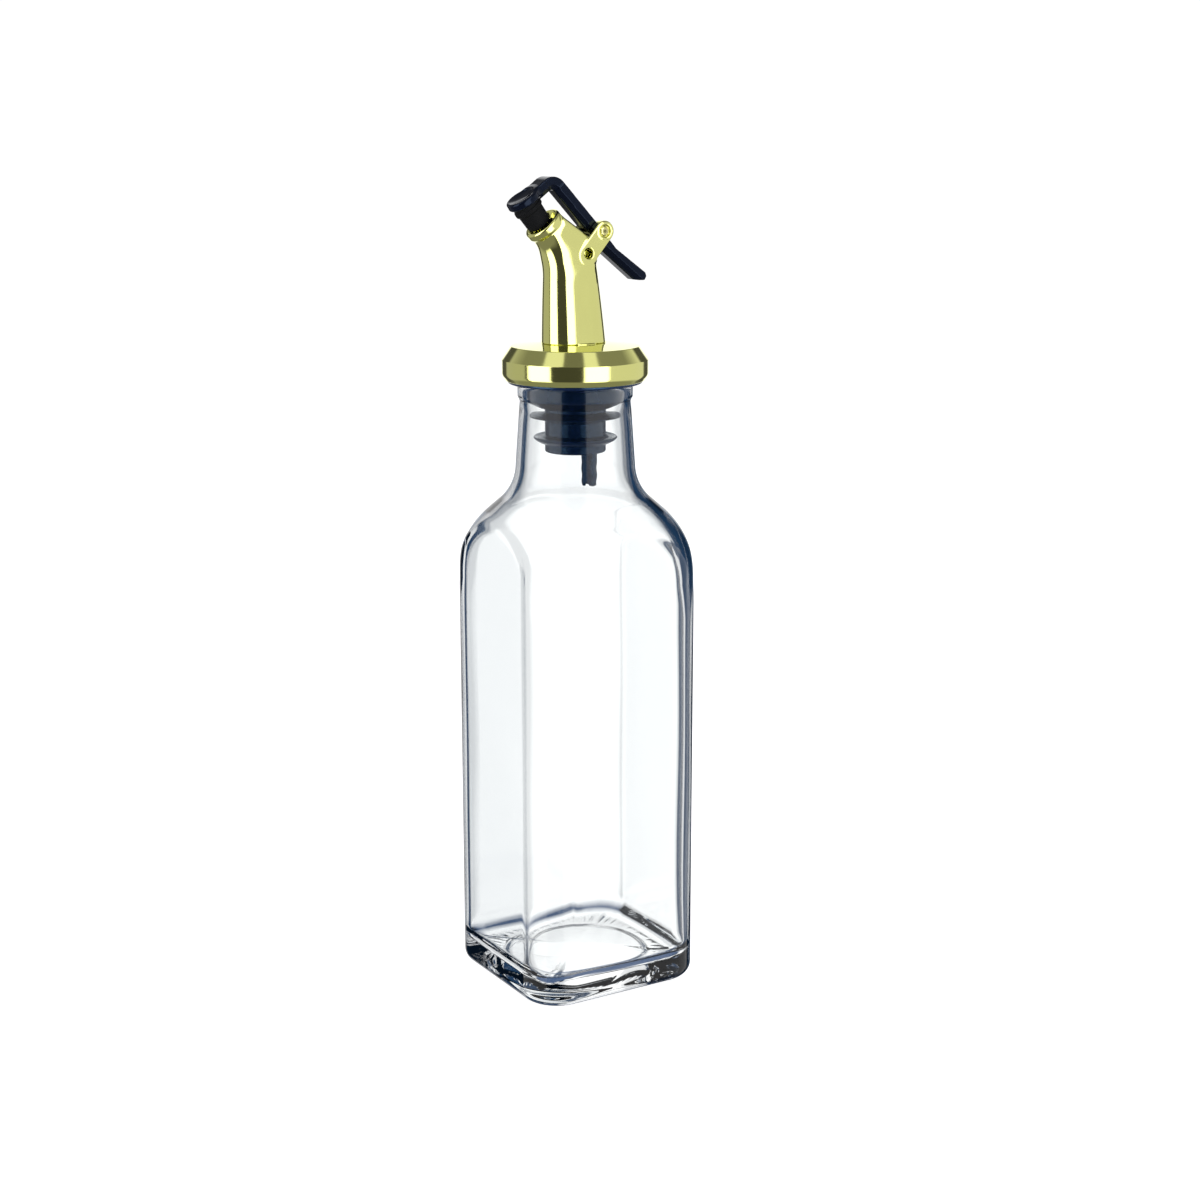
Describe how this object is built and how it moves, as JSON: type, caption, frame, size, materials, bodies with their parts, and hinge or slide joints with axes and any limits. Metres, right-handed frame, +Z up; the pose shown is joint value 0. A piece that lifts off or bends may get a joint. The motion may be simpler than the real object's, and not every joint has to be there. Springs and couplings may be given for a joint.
{
  "type": "glass oil bottle with lever pourer",
  "caption": "Square clear glass oil bottle with a domed shoulder and round neck, closed by a push-in stopper under a gold collar and bent spout whose black thumb lever covers the mouth.",
  "frame": {"origin": "centre of the bottle's base, on the plane of its base ring", "axes": "+Z up the bottle's axis; the pouring mouth points to -X and up, the thumb tail to +X; the hinge pin lies along Y; the vent hole faces -Y"},
  "size_m": [0.0536, 0.0536, 0.2242],
  "materials": {
    "clear_glass": "clear polished flint glass",
    "stopper_black": "smooth soft plastic, blue-black, half gloss",
    "gold_plating": "bright gold metallised plastic",
    "pin_metal": "bright gold plated",
    "spring_steel": "drawn spring wire",
    "lever_black": "glossy moulded plastic, blue-black",
    "plug_rubber": "matt soft rubber"
  },
  "bodies": {
    "bottle": {"glass_bottle": "clear_glass"},
    "pourer": {"stopper": "stopper_black", "air_tube": "stopper_black", "collar": "gold_plating", "spout": "gold_plating", "pivot_pin": "pin_metal", "return_spring": "spring_steel"},
    "lever_arm": {"lever": "lever_black", "mouth_plug": "plug_rubber"}
  },
  "joints": [
    {"name": "pourer_lift", "type": "slide", "parent": "bottle", "child": "pourer", "axis": [0, 0, 1], "range_m": [0, 0.06]},
    {"name": "lever_hinge", "type": "hinge", "parent": "pourer", "child": "lever_arm", "pos_m": [0.0063, 0, 0.2097], "axis": [0, 1, 0], "range_deg": [0, 28], "stiffness_Nm_per_rad": 0.01, "springref_deg": -20.05}
  ]
}
